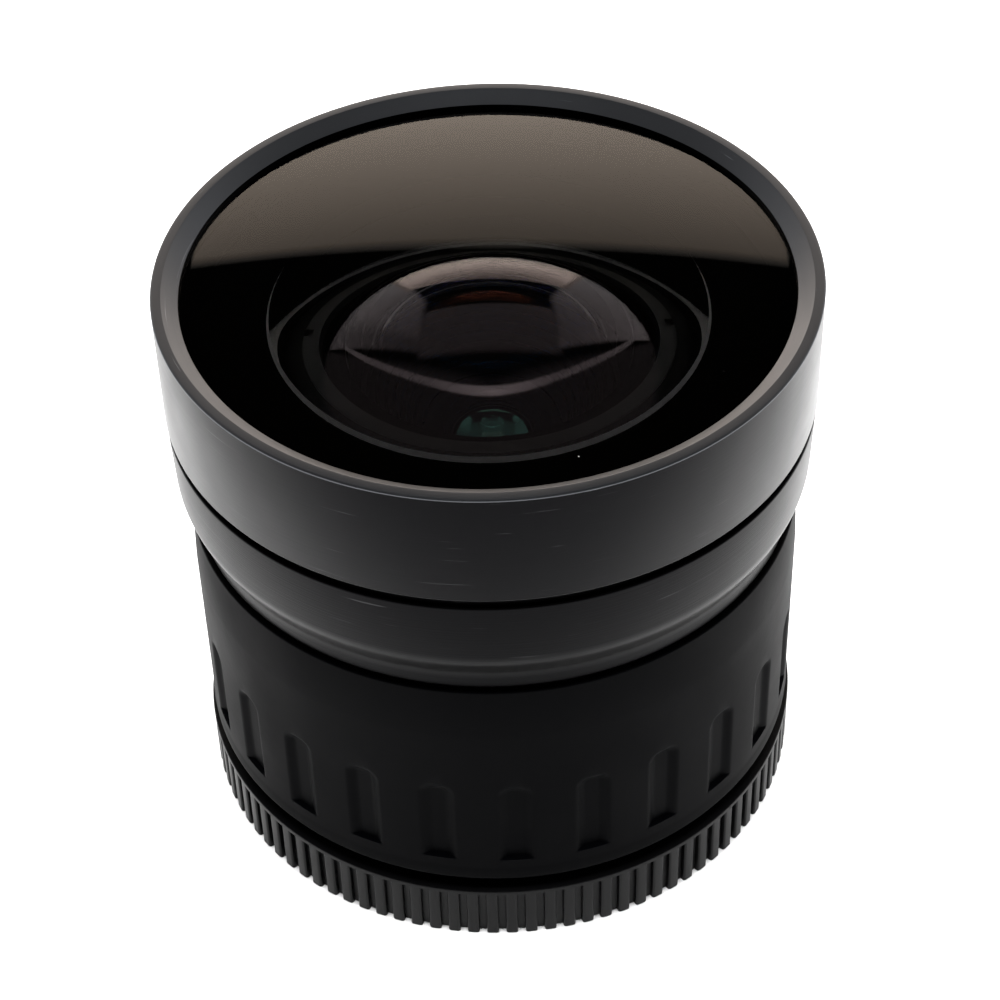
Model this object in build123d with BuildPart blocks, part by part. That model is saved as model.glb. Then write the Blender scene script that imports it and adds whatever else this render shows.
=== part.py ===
# A screw-on fisheye lens attachment, standing on its ribbed rear cap.
# Millimetres. The optical axis is Z, +Z is the way the front glass looks, and the
# origin is the middle of the cap's underside. The photographed side faces -Y.
import os

from build123d import *

# Overall stack, from the underside of the rear cap to the hood's rim
cap_height = 8.6
cap_gap = 2.3
sleeve_height = 34.1
sleeve_gap = 0.6
barrel_height = 17.15
hood_groove = 0.7
hood_height = 16.15

# Overrun of every cut, clearances and the small round of a turned edge
overrun = 1.0
slip_clearance = 0.05
glass_clearance = 0.15
edge_round = 0.3

# Hood ring
hood_radius = 42.0
hood_wall = 1.7
rim_land = 1.35
rim_bevel = 1.35
rim_bevel_width = 2.05
hood_lip = 1.92

# Front element, a wide and nearly flat meniscus with a deep bowl behind
front_rise = 1.71
front_edge = 9.78
front_thickness = 2.69
rear_land = 12.45
bowl_bevel = 0.15
bowl_bevel_height = 1.1

# Rubber seal behind the front element
seal_thickness = 0.5
seal_inset = 0.3

# Barrel, turned from aluminium
barrel_inset = 0.1
barrel_draft = 0.45
barrel_cone = 2.1
barrel_break_height = 7.15
barrel_break_round = 4.0
barrel_neck_step = 0.95
barrel_wall = 2.4
groove_depth = 0.8
web_height = 3.0
web_gap = 2.95

# Second element, a domed meniscus, and its cell
first_air_gap = 1.47
second_inset = 3.5
second_shoulder = 0.9
second_rise = 9.63
second_thickness = 4.0
second_rim = 5.7
second_hollow = 9.7
cell_flange = 2.5
cell_flange_rise = 0.15
cell_wall = 2.8
cell_lip = 2.35
cell_lip_width = 2.8
cell_skirt = 7.5
retainer_height = 1.3
retainer_width = 2.1
lock_ring_height = 1.5
lock_ring_gap = 2.4
slot_width = 1.6
slot_depth = 0.8

# Rear lens tube, with the third element and the doublet
tube_gap = 0.2
tube_wall = 2.1
tube_cone = 5.0
tube_rear_wall = 1.65
tube_reach = 0.2
third_inset = 6.7
third_shoulder = 1.2
third_rise = 6.67
third_thickness = 2.0
third_rim = 4.7
third_hollow = 5.7
third_ring_height = 1.6
third_room = 5.8
third_lip = 1.65
third_lip_width = 3.25
doublet_step = 2.3
crown_shoulder = 1.3
crown_rise = 3.63
crown_edge = 1.5
cement_fall = 4.85
cement_gap = 0.02
flint_edge = 6.0
flint_shoulder = 1.9
flint_fall = 1.02
rear_ring_height = 2.0
tube_end_margin = 0.5
stop_height = 5.1
stop_web = 0.8
stop_inset = 0.5

# Conical light baffle between the second and the third element
baffle_rim = 1.25
baffle_steps = 7

# Grub screws that lock the rear lens tube in the cell
skirt_wall = 3.0
grub_radius = 1.0
grub_sink = 0.4
grub_count = 3
grub_drop = 4.0
hex_socket = 0.9
hex_depth = 1.2

# Grip sleeve with its moulded flutes
sleeve_wall = 1.85
sleeve_lip = 1.2
sleeve_lip_width = 1.2
sleeve_top_edge = 0.4
sleeve_foot_round = 0.8
flute_count = 25
flute_width = 5.0
flute_height = 14.4
flute_rise = 3.6
flute_depth = 0.95
flute_round = 1.6
flute_draft_angle = 25.0
flute_turn_angle = 2.2

# Mount ring with the male thread, its rear plate and the plate's screws
flange_step = 2.2
thread_length = 6.3
neck_wall = 2.8
flange_recess = 0.3
flange_thickness = 2.0
flange_clearance = 0.35
spigot_length = 3.8
spigot_wall = 2.4
plate_sink = 0.8
plate_thickness = 1.0
ledge_width = 3.7
ledge_thickness = 2.0
plate_clearance = 0.2
plate_screw_count = 3
plate_screw_radius = 0.7
plate_screw_head = 1.4
plate_screw_head_depth = 0.6
plate_screw_slot = 0.4
plate_screw_length = 2.4
plate_screw_inset = 1.8

# Rear cap
cap_wall = 2.5
skirt_gap = 0.82
cap_floor = 1.7
cap_recess = 0.5
cap_recess_margin = 3.0
cap_edge = 0.7
collar_wall = 1.5
collar_drop = 0.7
collar_stop_width = 1.1
rib_count = 99
groove_width = 0.95
groove_cut = 0.7
rib_flank = 0.35
thread_clearance = 0.08


def curve_of(rise, half_width):
    """Radius of the sphere whose cap has that rise over that half width."""
    return (rise**2 + half_width**2) / (2 * rise)


def sag(curve, half_width):
    """Rise of a spherical cap of that curve over that half width."""
    return curve - (curve**2 - half_width**2) ** 0.5


# Radii, from the hood inwards
hood_bore = hood_radius - hood_wall
mouth_radius = hood_radius - rim_land - rim_bevel_width
front_radius = hood_bore - glass_clearance
barrel_top_radius = hood_radius - barrel_inset
barrel_break_radius = barrel_top_radius - barrel_draft
barrel_foot_radius = barrel_break_radius - barrel_cone
barrel_tube_radius = barrel_foot_radius - barrel_neck_step
barrel_bore = barrel_tube_radius - barrel_wall
sleeve_bore = barrel_tube_radius + glass_clearance
sleeve_radius = sleeve_bore + sleeve_wall
flange_radius = sleeve_bore - flange_clearance
bowl_radius = front_radius - rear_land
second_radius = bowl_radius - second_inset
second_clear = second_radius - second_shoulder
second_bowl = second_radius - second_rim
retainer_outer = second_clear + retainer_width
cell_bore = second_radius + slip_clearance
cell_radius = cell_bore + cell_wall
web_bore = cell_radius + web_gap
lock_ring_bore = cell_radius + lock_ring_gap
lock_ring_radius = barrel_bore - slip_clearance
skirt_bore = cell_radius - skirt_wall
tube_radius = skirt_bore - slip_clearance
tube_bore = tube_radius - tube_wall
baffle_mouth = tube_bore - baffle_rim
third_radius = tube_bore - third_inset
third_clear = third_radius - third_shoulder
third_bowl = third_radius - third_rim
third_bore = third_radius + slip_clearance
lip_bore = third_bore - third_lip_width
stop_radius = lip_bore - stop_inset
doublet_radius = third_radius + doublet_step
crown_clear = doublet_radius - crown_shoulder
flint_clear = doublet_radius - flint_shoulder
doublet_bore = doublet_radius + slip_clearance
tube_rear_radius = doublet_bore + tube_rear_wall
thread_radius = flange_radius - flange_step
neck_bore = thread_radius - neck_wall
plate_inner = tube_rear_radius + plate_clearance
plate_outer = neck_bore - plate_clearance
plate_screw_circle = plate_outer - plate_screw_inset
collar_bore = thread_radius + thread_clearance
collar_outer = collar_bore + collar_wall
skirt_inner = collar_outer + skirt_gap
cap_radius = skirt_inner + cap_wall

# Levels of the outer stack
sleeve_bottom_z = cap_height + cap_gap
sleeve_top_z = sleeve_bottom_z + sleeve_height
barrel_foot_z = sleeve_top_z + sleeve_gap
barrel_break_z = barrel_foot_z + barrel_break_height
barrel_top_z = barrel_foot_z + barrel_height
hood_bottom_z = barrel_top_z + hood_groove
hood_top_z = hood_bottom_z + hood_height

# Levels of the mount
flange_z = sleeve_bottom_z + flange_recess
flange_top_z = flange_z + flange_thickness
barrel_end_z = flange_top_z + sleeve_lip
plate_z = flange_z + plate_sink
ledge_z = plate_z + plate_thickness
spigot_top_z = flange_top_z + spigot_length
neck_end_z = flange_z - thread_length

# Levels of the front glass and the second element, from the hood's lip inwards
front_seat_z = hood_top_z - hood_lip
front_apex_z = front_seat_z + front_rise
front_rear_z = front_seat_z - front_edge
bowl_apex_z = front_apex_z - front_thickness
bowl_mouth = bowl_radius - bowl_bevel
bowl_mouth_z = front_rear_z + bowl_bevel_height
second_apex_z = bowl_apex_z - first_air_gap
second_seat_z = second_apex_z - second_rise
second_bowl_apex_z = second_apex_z - second_thickness
second_rear_z = second_bowl_apex_z - second_hollow

# Levels of the rear glass, from the rear plate inwards
tube_end_z = plate_z - tube_reach
flint_rear_z = tube_end_z + tube_end_margin + rear_ring_height
cement_edge_z = flint_rear_z + flint_edge
flint_edge_z = cement_edge_z - cement_gap
crown_seat_z = cement_edge_z + crown_edge
lip_rear_z = crown_seat_z + stop_height
third_rear_z = lip_rear_z + third_lip
third_bowl_apex_z = third_rear_z + third_hollow
third_apex_z = third_bowl_apex_z + third_thickness
third_seat_z = third_apex_z - third_rise
third_mouth_z = third_seat_z + third_ring_height + third_room

# Levels of the housings between them
seal_z = front_rear_z - seal_thickness
cell_seat_z = second_rear_z + cell_flange_rise
cell_top_z = second_seat_z + retainer_height
cell_lip_z = second_rear_z - cell_lip
cell_end_z = cell_lip_z - cell_skirt
lock_ring_z = cell_seat_z + cell_flange
tube_top_z = cell_lip_z - tube_gap
grub_z = cell_lip_z - grub_drop


def dome(apex_z, edge_z, half_width):
    """Spherical surface's arc from its apex on the axis to its edge, in a half outline."""
    halfway = half_width / 2
    rise = apex_z - edge_z
    curve = curve_of(abs(rise), half_width)
    fall = sag(curve, halfway) if rise > 0 else -sag(curve, halfway)
    ThreePointArc((0, apex_z), (halfway, apex_z - fall), (half_width, edge_z))


def outward_planes(radius, height, count, turn_angle=0.0):
    """Work planes that face away from the axis, spaced evenly from the photographed side."""
    planes = []
    for number in range(count):
        facing = Plane.YZ.rotated((0, 0, number * 360 / count + turn_angle - 90)).offset(radius)
        planes.append(Plane(facing.origin + Vector(0, 0, height), facing.x_dir, facing.z_dir))
    return planes


# Hood ring: lip over the front glass, rim bevel and plain outer band
with BuildPart() as hood_ring:
    with BuildSketch(Plane.XZ):
        with BuildLine():
            Polyline(
                (hood_bore, hood_bottom_z),
                (hood_radius, hood_bottom_z),
                (hood_radius, hood_top_z),
                (hood_radius - rim_land, hood_top_z),
                (mouth_radius, hood_top_z - rim_bevel),
                (mouth_radius, front_seat_z),
                (hood_bore, front_seat_z),
                close=True,
            )
        make_face()
    revolve(axis=Axis.Z)
    rim = hood_ring.edges().filter_by(GeomType.CIRCLE).group_by(Axis.Z)[-1]
    chamfer(rim.sort_by(SortBy.RADIUS)[-1], length=edge_round)
    foot = hood_ring.edges().filter_by(GeomType.CIRCLE).group_by(Axis.Z)[0]
    chamfer(foot.sort_by(SortBy.RADIUS)[-1], length=edge_round)
hood_ring.part.label = "hood_ring"

# Front element: shallow dome, flat seat under the hood's lip, bowl with a ground bevel
with BuildPart() as front_element:
    with BuildSketch(Plane.XZ):
        with BuildLine():
            dome(front_apex_z, front_seat_z, mouth_radius)
            Polyline(
                (mouth_radius, front_seat_z),
                (front_radius, front_seat_z),
                (front_radius, front_rear_z),
                (bowl_radius, front_rear_z),
                (bowl_mouth, bowl_mouth_z),
            )
            dome(bowl_apex_z, bowl_mouth_z, bowl_mouth)
            Line((0, bowl_apex_z), (0, front_apex_z))
        make_face()
    revolve(axis=Axis.Z)
front_element.part.label = "front_element"

# Front seal: flat rubber ring between the glass and the barrel's spigot
with BuildPart() as front_seal:
    with BuildSketch(Plane.XY.offset(seal_z)):
        Circle(front_radius - seal_inset)
        Circle(barrel_bore + seal_inset, mode=Mode.SUBTRACT)
    extrude(amount=seal_thickness)
front_seal.part.label = "front_seal"

# Barrel: cone and band outside, threaded spigot above, long tube below for the sleeve
with BuildPart() as barrel:
    with BuildSketch(Plane.XZ):
        with BuildLine():
            Polyline(
                (barrel_bore, barrel_end_z),
                (barrel_tube_radius, barrel_end_z),
                (barrel_tube_radius, barrel_foot_z),
                (barrel_foot_radius, barrel_foot_z),
                (barrel_break_radius, barrel_break_z),
                (barrel_top_radius, barrel_top_z),
                (barrel_top_radius - groove_depth, barrel_top_z),
                (barrel_top_radius - groove_depth, hood_bottom_z),
                (hood_bore - slip_clearance, hood_bottom_z),
                (hood_bore - slip_clearance, seal_z),
                (barrel_bore, seal_z),
                (barrel_bore, cell_seat_z),
                (web_bore, cell_seat_z),
                (web_bore, cell_seat_z - web_height),
                (barrel_bore, cell_seat_z - web_height),
                close=True,
            )
        make_face()
    revolve(axis=Axis.Z)
    corners = barrel.edges().filter_by(GeomType.CIRCLE)
    level = (barrel_break_z - slip_clearance, barrel_break_z + slip_clearance)
    fillet(corners.filter_by_position(Axis.Z, *level), radius=barrel_break_round)
    corners = barrel.edges().filter_by(GeomType.CIRCLE)
    level = (barrel_foot_z - slip_clearance, barrel_foot_z + slip_clearance)
    shoulder = corners.filter_by_position(Axis.Z, *level).sort_by(SortBy.RADIUS)
    fillet(shoulder[-1], radius=edge_round)
barrel.part.label = "barrel"

# Lens cell: flange on the barrel's web, hub around the second element, skirt for the tube
with BuildPart() as lens_cell:
    with BuildSketch(Plane.XZ):
        with BuildLine():
            Polyline(
                (cell_bore - cell_lip_width, cell_lip_z),
                (skirt_bore, cell_lip_z),
                (skirt_bore, cell_end_z),
                (cell_radius, cell_end_z),
                (cell_radius, cell_seat_z),
                (barrel_bore - slip_clearance, cell_seat_z),
                (barrel_bore - slip_clearance, lock_ring_z),
                (cell_radius, lock_ring_z),
                (cell_radius, cell_top_z),
                (retainer_outer + slip_clearance, cell_top_z),
                (retainer_outer + slip_clearance, second_seat_z),
                (cell_bore, second_seat_z),
                (cell_bore, second_rear_z),
                (cell_bore - cell_lip_width, second_rear_z),
                close=True,
            )
        make_face()
    revolve(axis=Axis.Z)
    with BuildSketch(*outward_planes(tube_radius, grub_z, grub_count)):
        Circle(grub_radius)
    extrude(amount=skirt_wall + overrun, mode=Mode.SUBTRACT)
lens_cell.part.label = "lens_cell"

# Lock ring: holds the cell's flange down on the barrel's web, with two spanner slots
with BuildPart() as cell_lock_ring:
    with BuildSketch(Plane.XY.offset(lock_ring_z)):
        Circle(lock_ring_radius)
        Circle(lock_ring_bore, mode=Mode.SUBTRACT)
    extrude(amount=lock_ring_height)
    with BuildSketch(Plane.XY.offset(lock_ring_z + lock_ring_height)):
        with PolarLocations(lock_ring_bore, 2):
            Rectangle(lock_ring_radius - lock_ring_bore, slot_width)
    extrude(amount=-slot_depth, mode=Mode.SUBTRACT)
cell_lock_ring.part.label = "cell_lock_ring"

# Second element: domed meniscus with a narrow flat shoulder for its retainer
with BuildPart() as second_element:
    with BuildSketch(Plane.XZ):
        with BuildLine():
            dome(second_apex_z, second_seat_z, second_clear)
            Polyline(
                (second_clear, second_seat_z),
                (second_radius, second_seat_z),
                (second_radius, second_rear_z),
                (second_bowl, second_rear_z),
            )
            dome(second_bowl_apex_z, second_rear_z, second_bowl)
            Line((0, second_bowl_apex_z), (0, second_apex_z))
        make_face()
    revolve(axis=Axis.Z)
second_element.part.label = "second_element"

# Second retainer: threaded ring on the shoulder of the second element
with BuildPart() as second_retainer:
    with BuildSketch(Plane.XY.offset(second_seat_z)):
        Circle(retainer_outer)
        Circle(second_clear + slip_clearance, mode=Mode.SUBTRACT)
    extrude(amount=retainer_height)
    with BuildSketch(Plane.XY.offset(cell_top_z)):
        with PolarLocations(retainer_outer, 2):
            Rectangle(retainer_width, slot_width)
    extrude(amount=-slot_depth, mode=Mode.SUBTRACT)
second_retainer.part.label = "second_retainer"

# Rear lens tube: wide at the baffle, waisted at the third element, open at the rear
with BuildPart() as rear_tube:
    with BuildSketch(Plane.XZ):
        with BuildLine():
            Polyline(
                (tube_bore, tube_top_z),
                (tube_bore, third_mouth_z),
                (third_bore, third_mouth_z),
                (third_bore, third_rear_z),
                (lip_bore, third_rear_z),
                (lip_bore, lip_rear_z),
                (doublet_bore, lip_rear_z),
                (doublet_bore, tube_end_z),
                (tube_rear_radius, tube_end_z),
                (tube_rear_radius, third_mouth_z - tube_cone),
                (tube_radius, third_mouth_z),
                (tube_radius, tube_top_z),
                close=True,
            )
        make_face()
    revolve(axis=Axis.Z)
rear_tube.part.label = "rear_tube"

# Grub screws: three with hex sockets, through the cell's skirt against the rear lens tube
with BuildPart() as tube_grub_screws:
    with BuildSketch(*outward_planes(tube_radius, grub_z, grub_count)):
        Circle(grub_radius - slip_clearance)
    extrude(amount=skirt_wall - grub_sink)
    with BuildSketch(*outward_planes(tube_radius + skirt_wall - grub_sink, grub_z, grub_count)):
        RegularPolygon(hex_socket / 2, 6, major_radius=False)
    extrude(amount=-hex_depth, mode=Mode.SUBTRACT)
tube_grub_screws.part.label = "tube_grub_screws"

# Middle baffle: stepped funnel that keeps stray light off the third element
with BuildPart() as middle_baffle:
    funnel_fall = (tube_top_z - third_mouth_z) / baffle_steps
    funnel_narrowing = (baffle_mouth - third_bore) / baffle_steps
    funnel = []
    for step in range(baffle_steps):
        step_radius = baffle_mouth - step * funnel_narrowing
        funnel.append((step_radius, tube_top_z - step * funnel_fall))
        funnel.append((step_radius, tube_top_z - (step + 1) * funnel_fall))
    with BuildSketch(Plane.XZ):
        with BuildLine():
            Polyline(
                *funnel,
                (tube_bore - slip_clearance, third_mouth_z),
                (tube_bore - slip_clearance, tube_top_z),
                close=True,
            )
        make_face()
    revolve(axis=Axis.Z)
middle_baffle.part.label = "middle_baffle"

# Third element: small strongly curved meniscus in the waist of the tube
with BuildPart() as third_element:
    with BuildSketch(Plane.XZ):
        with BuildLine():
            dome(third_apex_z, third_seat_z, third_clear)
            Polyline(
                (third_clear, third_seat_z),
                (third_radius, third_seat_z),
                (third_radius, third_rear_z),
                (third_bowl, third_rear_z),
            )
            dome(third_bowl_apex_z, third_rear_z, third_bowl)
            Line((0, third_bowl_apex_z), (0, third_apex_z))
        make_face()
    revolve(axis=Axis.Z)
third_element.part.label = "third_element"

# Third retainer: threaded ring in front of the third element
with BuildPart() as third_retainer:
    with BuildSketch(Plane.XY.offset(third_seat_z)):
        Circle(third_radius)
        Circle(third_clear + slip_clearance, mode=Mode.SUBTRACT)
    extrude(amount=third_ring_height)
    with BuildSketch(Plane.XY.offset(third_seat_z + third_ring_height)):
        with PolarLocations(third_radius, 2):
            Rectangle(third_radius - third_clear, slot_width)
    extrude(amount=-slot_depth, mode=Mode.SUBTRACT)
third_retainer.part.label = "third_retainer"

# Stop spacer: keeps the doublet off the tube's lip and carries the round field stop
with BuildPart() as stop_spacer:
    with BuildSketch(Plane.XZ):
        with BuildLine():
            Polyline(
                (stop_radius, lip_rear_z),
                (doublet_radius, lip_rear_z),
                (doublet_radius, crown_seat_z),
                (crown_clear, crown_seat_z),
                (crown_clear, lip_rear_z - stop_web),
                (stop_radius, lip_rear_z - stop_web),
                close=True,
            )
        make_face()
    revolve(axis=Axis.Z)
stop_spacer.part.label = "stop_spacer"

# Crown glass of the rear doublet, convex on both sides
with BuildPart() as doublet_crown:
    with BuildSketch(Plane.XZ):
        with BuildLine():
            dome(crown_seat_z + crown_rise, crown_seat_z, crown_clear)
            Polyline(
                (crown_clear, crown_seat_z),
                (doublet_radius, crown_seat_z),
                (doublet_radius, cement_edge_z),
            )
            dome(cement_edge_z - cement_fall, cement_edge_z, doublet_radius)
            Line((0, cement_edge_z - cement_fall), (0, crown_seat_z + crown_rise))
        make_face()
    revolve(axis=Axis.Z)
doublet_crown.part.label = "doublet_crown"

# Flint glass of the rear doublet, cemented behind the crown
with BuildPart() as doublet_flint:
    with BuildSketch(Plane.XZ):
        with BuildLine():
            dome(flint_edge_z - cement_fall, flint_edge_z, doublet_radius)
            Polyline(
                (doublet_radius, flint_edge_z),
                (doublet_radius, flint_rear_z),
                (flint_clear, flint_rear_z),
            )
            dome(flint_rear_z - flint_fall, flint_rear_z, flint_clear)
            Line((0, flint_rear_z - flint_fall), (0, flint_edge_z - cement_fall))
        make_face()
    revolve(axis=Axis.Z)
doublet_flint.part.label = "doublet_flint"

# Rear retainer: threaded ring behind the doublet, with two spanner slots
with BuildPart() as rear_retainer:
    with BuildSketch(Plane.XY.offset(flint_rear_z)):
        Circle(doublet_radius)
        Circle(flint_clear + slip_clearance, mode=Mode.SUBTRACT)
    extrude(amount=-rear_ring_height)
    with BuildSketch(Plane.XY.offset(flint_rear_z - rear_ring_height)):
        with PolarLocations(doublet_radius, 2):
            Rectangle(doublet_radius - flint_clear, slot_width)
    extrude(amount=slot_depth, mode=Mode.SUBTRACT)
rear_retainer.part.label = "rear_retainer"

# Mount ring: flange under the sleeve, spigot in the barrel, neck with the male thread
with BuildPart() as mount_ring:
    with BuildSketch(Plane.XZ):
        with BuildLine():
            Polyline(
                (neck_bore, neck_end_z),
                (thread_radius - edge_round, neck_end_z),
                (thread_radius, neck_end_z + edge_round),
                (thread_radius, flange_z),
                (flange_radius, flange_z),
                (flange_radius, flange_top_z),
                (barrel_bore - slip_clearance, flange_top_z),
                (barrel_bore - slip_clearance, spigot_top_z),
                (barrel_bore - spigot_wall, spigot_top_z),
                (barrel_bore - spigot_wall, ledge_z + ledge_thickness),
                (neck_bore - ledge_width, ledge_z + ledge_thickness),
                (neck_bore - ledge_width, ledge_z),
                (neck_bore, ledge_z),
                close=True,
            )
        make_face()
    revolve(axis=Axis.Z)
    with Locations((0, 0, ledge_z)):
        with PolarLocations(plate_screw_circle, plate_screw_count):
            Cylinder(
                plate_screw_radius + slip_clearance,
                2 * ledge_thickness + overrun,
                mode=Mode.SUBTRACT,
            )
mount_ring.part.label = "mount_ring"

# Rear plate: flat black ring that closes the space between neck and lens tube
with BuildPart() as rear_plate:
    with BuildSketch(Plane.XY.offset(plate_z)):
        Circle(plate_outer)
        Circle(plate_inner, mode=Mode.SUBTRACT)
    extrude(amount=plate_thickness)
    with BuildSketch(Plane.XY.offset(plate_z)):
        with PolarLocations(plate_screw_circle, plate_screw_count):
            Circle(plate_screw_head + slip_clearance)
    extrude(amount=plate_screw_head_depth, mode=Mode.SUBTRACT)
    with BuildSketch(Plane.XY.offset(plate_z)):
        with PolarLocations(plate_screw_circle, plate_screw_count):
            Circle(plate_screw_radius + slip_clearance)
    extrude(amount=plate_thickness, mode=Mode.SUBTRACT)
rear_plate.part.label = "rear_plate"

# Plate screws: three, sunk flush in the rear plate
with BuildPart() as plate_screws:
    with BuildSketch(Plane.XY.offset(plate_z)):
        with PolarLocations(plate_screw_circle, plate_screw_count):
            Circle(plate_screw_head)
    extrude(amount=plate_screw_head_depth)
    with BuildSketch(Plane.XY.offset(plate_z)):
        with PolarLocations(plate_screw_circle, plate_screw_count):
            Circle(plate_screw_radius)
    extrude(amount=plate_screw_length)
    with BuildSketch(Plane.XY.offset(plate_z)):
        with PolarLocations(plate_screw_circle, plate_screw_count):
            Rectangle(2 * plate_screw_head, plate_screw_slot)
    extrude(amount=plate_screw_head_depth / 2, mode=Mode.SUBTRACT)
plate_screws.part.label = "plate_screws"

# Grip sleeve: moulded shell over the barrel's tube, lip clamped over the mount ring
with BuildPart() as grip_sleeve:
    with BuildSketch(Plane.XZ):
        with BuildLine():
            Polyline(
                (sleeve_bore, sleeve_bottom_z),
                (sleeve_radius, sleeve_bottom_z),
                (sleeve_radius, sleeve_top_z),
                (sleeve_bore, sleeve_top_z),
                (sleeve_bore, barrel_end_z),
                (sleeve_bore - sleeve_lip_width, barrel_end_z),
                (sleeve_bore - sleeve_lip_width, flange_top_z),
                (sleeve_bore, flange_top_z),
                close=True,
            )
        make_face()
    revolve(axis=Axis.Z)
    sleeve_rims = grip_sleeve.edges().filter_by(GeomType.CIRCLE).group_by(Axis.Z)
    chamfer(sleeve_rims[-1].sort_by(SortBy.RADIUS)[-1], length=sleeve_top_edge)
    sleeve_rims = grip_sleeve.edges().filter_by(GeomType.CIRCLE).group_by(Axis.Z)
    fillet(sleeve_rims[0].sort_by(SortBy.RADIUS)[-1], radius=sleeve_foot_round)
    flute_middle_z = sleeve_bottom_z + flute_rise + flute_height / 2
    flute_planes = outward_planes(sleeve_radius, flute_middle_z, flute_count, flute_turn_angle)
    with BuildSketch(*flute_planes) as flute:
        Rectangle(flute_width, flute_height)
        fillet(flute.vertices().group_by(Axis.Y)[-1], radius=flute_round)
    extrude(amount=-flute_depth, taper=flute_draft_angle, mode=Mode.SUBTRACT)
grip_sleeve.part.label = "grip_sleeve"

# One groove between two ribs of the cap, with slanted flanks
groove_mouth = groove_width / 2 + rib_flank
with BuildSketch() as rib_groove:
    with BuildLine():
        Polyline(
            (cap_radius - groove_cut, -groove_width / 2),
            (cap_radius - groove_cut, groove_width / 2),
            (cap_radius, groove_mouth),
            (cap_radius + overrun, groove_mouth),
            (cap_radius + overrun, -groove_mouth),
            (cap_radius, -groove_mouth),
            close=True,
        )
    make_face()

# Rear cap: ribbed skirt, threaded collar round the neck and a recessed underside
with BuildPart() as rear_cap:
    with BuildSketch():
        Circle(cap_radius)
        with PolarLocations(0, rib_count):
            add(rib_groove.sketch, mode=Mode.SUBTRACT)
    extrude(amount=cap_height - cap_edge)
    with BuildSketch(Plane.XY.offset(cap_height - cap_edge)):
        Circle(cap_radius)
    extrude(amount=cap_edge)
    with BuildSketch(Plane.XY.offset(cap_recess + cap_floor)):
        Circle(skirt_inner)
    extrude(amount=cap_height, mode=Mode.SUBTRACT)
    with BuildSketch(Plane.XY.offset(cap_recess + cap_floor)):
        Circle(collar_outer)
        Circle(collar_bore - collar_stop_width, mode=Mode.SUBTRACT)
    extrude(amount=cap_height - collar_drop - cap_recess - cap_floor)
    with BuildSketch(Plane.XY.offset(neck_end_z)):
        Circle(collar_bore)
    extrude(amount=cap_height, mode=Mode.SUBTRACT)
    with BuildSketch():
        Circle(cap_radius - cap_recess_margin)
    extrude(amount=cap_recess, mode=Mode.SUBTRACT)
rear_cap.part.label = "rear_cap"

pieces = [
    hood_ring,
    front_element,
    front_seal,
    barrel,
    lens_cell,
    cell_lock_ring,
    second_element,
    second_retainer,
    rear_tube,
    tube_grub_screws,
    middle_baffle,
    third_element,
    third_retainer,
    stop_spacer,
    doublet_crown,
    doublet_flint,
    rear_retainer,
    mount_ring,
    rear_plate,
    plate_screws,
    grip_sleeve,
    rear_cap,
]

os.makedirs("parts", exist_ok=True)
for piece in pieces:
    export_step(piece.part, f"parts/{piece.part.label}.step")
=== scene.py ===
# A screw-on fisheye lens attachment, standing on its ribbed rear cap on a pale table.
# Metres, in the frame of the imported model: the optical axis is Z, and the photographed side
# faces -Y. Sizes in a section are real millimetres, turned into metres by MM.
import math

import bpy
from mathutils import Matrix, Vector


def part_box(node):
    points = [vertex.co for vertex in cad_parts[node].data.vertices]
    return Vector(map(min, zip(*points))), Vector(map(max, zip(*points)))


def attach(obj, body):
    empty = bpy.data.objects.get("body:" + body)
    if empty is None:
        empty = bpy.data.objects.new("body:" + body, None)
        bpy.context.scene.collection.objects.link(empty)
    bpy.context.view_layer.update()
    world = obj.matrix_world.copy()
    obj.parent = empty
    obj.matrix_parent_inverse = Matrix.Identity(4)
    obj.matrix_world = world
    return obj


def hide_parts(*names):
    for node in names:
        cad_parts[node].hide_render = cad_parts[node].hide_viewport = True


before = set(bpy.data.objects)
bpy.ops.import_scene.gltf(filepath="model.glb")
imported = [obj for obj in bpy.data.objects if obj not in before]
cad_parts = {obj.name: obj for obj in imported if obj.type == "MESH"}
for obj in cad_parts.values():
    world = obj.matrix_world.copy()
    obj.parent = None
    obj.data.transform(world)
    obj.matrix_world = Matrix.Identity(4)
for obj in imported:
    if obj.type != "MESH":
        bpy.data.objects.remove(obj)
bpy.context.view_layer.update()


# The camera: a long lens nearly 0.4 m away, looking down at the front glass. Its place, tilt
# and slight roll follow the photograph's perspective.
MM = 0.001
camera_place = Vector((0.72, -262.0, 282.3)) * MM
camera_elevation = math.radians(42.65)
camera_roll = math.radians(-1.735)
focal_share = 2.65
look = Vector((0, math.cos(camera_elevation), -math.sin(camera_elevation)))
side = Vector((1, 0, 0))
up = side.cross(look)
turned_side = side * math.cos(camera_roll) + up * math.sin(camera_roll)
turned_up = up * math.cos(camera_roll) - side * math.sin(camera_roll)
camera_data = bpy.data.cameras.new("camera")
camera_data.sensor_width = 36
camera_data.lens = camera_data.sensor_width * focal_share
camera_data.clip_start = 10 * MM
camera = bpy.data.objects.new("camera", camera_data)
turn = Matrix((turned_side, turned_up, -look)).transposed().to_4x4()
camera.matrix_world = Matrix.Translation(camera_place) @ turn
bpy.context.scene.collection.objects.link(camera)
bpy.context.scene.camera = camera


# The hood ring: turned aluminium, satin black anodised, screwed on the barrel. Its lip holds
# the front glass, and its rim has a flat land and a bevel that runs down to the glass.
ROUND_STEPS = 4
FINE_TURN = 360
SHARP_CORNER = math.radians(32)


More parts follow.
